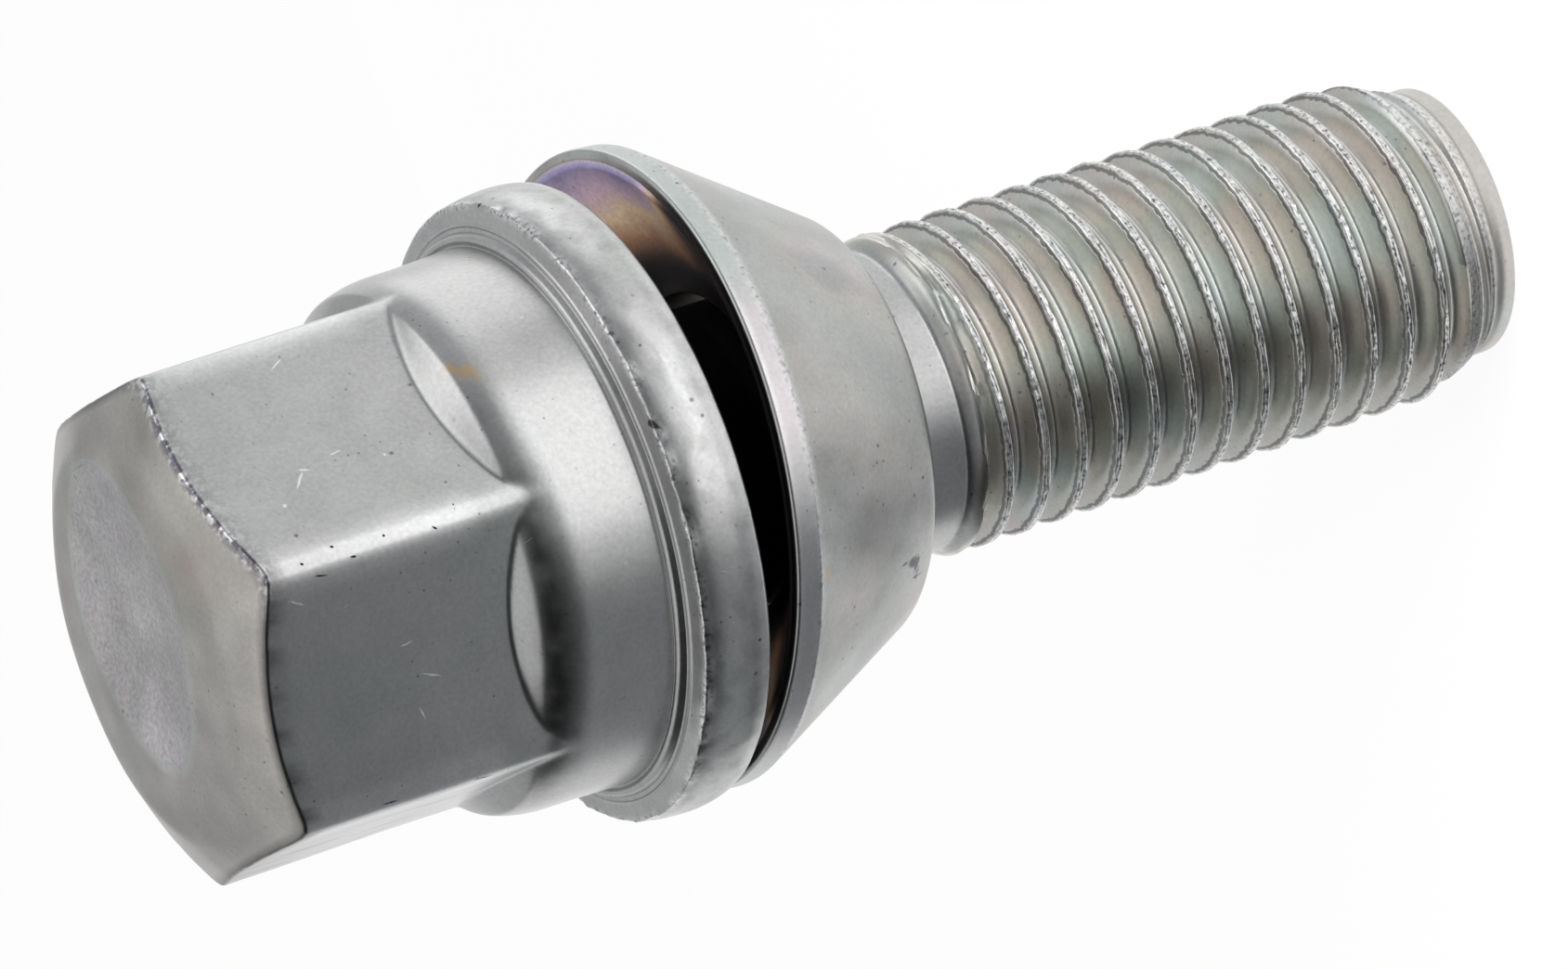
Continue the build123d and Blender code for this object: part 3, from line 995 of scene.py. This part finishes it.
def make_camera():
    """The photograph's camera."""
    azimuth = math.radians(view_azimuth)
    elevation = math.radians(view_elevation)
    away = Vector((
        math.sin(azimuth) * math.cos(elevation),
        -math.cos(azimuth) * math.cos(elevation),
        math.sin(elevation),
    ))
    camera = bpy.data.objects.new("camera", bpy.data.cameras.new("camera"))
    bpy.context.scene.collection.objects.link(camera)
    camera.data.lens = view_lens
    camera.data.sensor_width = 36
    camera.data.clip_start = 0.01
    camera.data.clip_end = 10
    facing = away.to_track_quat("Z", "Y").to_matrix().to_4x4()
    roll = Matrix.Rotation(math.radians(-view_roll), 4, "Z")
    place = Matrix.Translation((Vector(view_target) + away * view_distance) * MM)
    camera.matrix_world = place @ facing @ roll
    bpy.context.scene.camera = camera


make_camera()


def seen_directly(nodes):
    """1 for rays that show the background itself: from the camera, a reflection or through glass."""
    rays = nodes.add("ShaderNodeLightPath").outputs
    mirrored = nodes.math("MAXIMUM", rays["Is Glossy Ray"], rays["Is Transmission Ray"])
    return nodes.math("MAXIMUM", rays["Is Camera Ray"], mirrored)


def make_floor():
    """A pale floor that shows as white and keeps a faint shadow."""
    mesh = bpy.data.meshes.new("floor")
    mesh.from_pydata([(-3, -3, 0), (3, -3, 0), (3, 3, 0), (-3, 3, 0)], [], [(0, 1, 2, 3)])
    floor = bpy.data.objects.new("floor", mesh)
    bpy.context.scene.collection.objects.link(floor)
    material = bpy.data.materials.new("pale_floor")
    material.use_nodes = True
    tree = material.node_tree
    tree.nodes.clear()
    nodes = Nodes(tree)
    matt = nodes.add("ShaderNodeBsdfDiffuse", {"Color": (0.86, 0.86, 0.86, 1)})
    white = nodes.add("ShaderNodeEmission", {"Color": (1, 1, 1, 1), "Strength": 1.0})
    share = nodes.math("MULTIPLY", seen_directly(nodes), floor_whiteness)
    mixed = nodes.add("ShaderNodeMixShader", {0: share, 1: matt.outputs[0], 2: white.outputs[0]})
    nodes.add("ShaderNodeOutputMaterial", {"Surface": mixed.outputs[0]})
    mesh.materials.append(material)


def make_screen(name, foot, top, span, grey, fade=12):
    """A curved screen of cloth that only shows in the metal, thin at both of its ends.

    It has the (radius, height) of its foot and top, and the angles that it spans and fades over.
    """
    arc = np.linspace(span[0], span[1], 33)
    cover = smooth_step(0, fade, np.abs(arc - span[0])) * smooth_step(0, fade, np.abs(arc - span[1]))
    across = np.cos(np.radians(arc))
    along = np.sin(np.radians(arc))
    rows = [
        np.stack([radius * across, radius * along, 0 * arc + height], axis=1)
        for radius, height in (foot, top)
    ]
    row = len(arc)
    faces = [(i, i + 1, i + 1 + row, i + row) for i in range(row - 1)]
    mesh = bpy.data.meshes.new(name)
    mesh.from_pydata((np.concatenate(rows) * MM).tolist(), [], faces)
    attribute = mesh.attributes.new("cover", "FLOAT", "POINT")
    attribute.data.foreach_set("value", np.concatenate([cover, cover]).astype(np.float32))
    material = bpy.data.materials.new(name)
    material.use_nodes = True
    material.node_tree.nodes.clear()
    nodes = Nodes(material.node_tree)
    clear = nodes.add("ShaderNodeBsdfTransparent")
    cloth = nodes.add("ShaderNodeBsdfDiffuse", {"Color": (0.97 * grey, grey, 1.04 * grey, 1)})
    inputs = {0: nodes.mask("cover"), 1: clear.outputs[0], 2: cloth.outputs[0]}
    mixed = nodes.add("ShaderNodeMixShader", inputs)
    nodes.add("ShaderNodeOutputMaterial", {"Surface": mixed.outputs[0]})
    mesh.materials.append(material)
    screen = bpy.data.objects.new(name, mesh)
    bpy.context.scene.collection.objects.link(screen)
    screen.visible_camera = False
    screen.visible_shadow = False
    screen.visible_diffuse = False


def make_lamp(name, direction, distance, size, brightness):
    """A flat lamp that faces the middle of the bolt: its brightness is 1 for white."""
    light = bpy.data.lights.new(name, "AREA")
    light.shape = "RECTANGLE"
    light.size = size[0] * MM
    light.size_y = size[1] * MM
    light.energy = brightness * math.pi * light.size * light.size_y
    lamp = bpy.data.objects.new(name, light)
    bpy.context.scene.collection.objects.link(lamp)
    away = Vector(direction).normalized()
    facing = away.to_track_quat("Z", "Y").to_matrix().to_4x4()
    lamp.matrix_world = Matrix.Translation((away * distance + Vector((0, 0, bolt_middle))) * MM) @ facing
    lamp.visible_camera = False
    return lamp


def light_world():
    """Grey walls low down and a pale ceiling, as a soft studio has."""
    world = bpy.data.worlds.new("studio")
    bpy.context.scene.world = world
    world.use_nodes = True
    nodes = Nodes(world.node_tree)
    direction = nodes.add("ShaderNodeTexCoord").outputs["Generated"]
    rise = nodes.add("ShaderNodeSeparateXYZ", {0: direction}).outputs["Z"]
    shades = nodes.ramp(rise, (0.0, wall_grey), (0.45, wall_grey), (0.8, ceiling_grey), (1.0, ceiling_grey))
    background = world.node_tree.nodes["Background"]
    world.node_tree.links.new(shades, background.inputs["Color"])


# Studio round the bolt: floor, dark and grey screens that show in the metal, lamps
bolt_middle = 30
floor_whiteness = 0.92
wall_grey = (0.55, 0.56, 0.57)
ceiling_grey = (0.85, 0.85, 0.85)

make_floor()
make_screen("foot_screen", (5.3, 0.3), (9, 0.3), (-50, -175), 0.15, 45)
make_screen("near_screen", (14, 0.5), (14, 18), (-74, -150), 0.1, 30)
make_screen("side_screen", (14, 0.5), (14, 5.5), (-125, -172), 0.14, 18)
make_screen("floor_screen", (27, 0.5), (66, 0.5), (-75, -183), 0.22, 14)
make_screen("edge_screen", (66, 0.5), (85, 0.5), (-85, -186), 0.06, 14)
make_screen("low_screen", (85, 0.5), (85, 25), (-89, -188), 0.34)
make_screen("high_screen", (85, 25), (85, 110), (-66, -188), 0.015)
make_screen("upper_screen", (100, 22), (100, 90), (-2, -80), 0.25)
make_screen("grey_wall", (160, 0.5), (160, 75), (-16, 75), 0.65, 25)
make_lamp("key", (0.64, 0.30, 0.70), 350, (220, 220), 1.0)
make_lamp("near_strip", (0.70, -0.70, -0.25), 90, (110, 14), 2.4)
make_lamp("top_strip", (0.72, 0.67, -0.25), 90, (90, 14), 0.95)
make_lamp("far_strip", (-0.54, 0.83, -0.25), 90, (80, 14), 0.35)
gap_lamp = make_lamp("gap_lamp", (0.68, -0.62, 0.38), 60, (40, 16), 35)
gap_lamp.visible_glossy = False
light_world()
bpy.context.scene.view_settings.view_transform = "Standard"
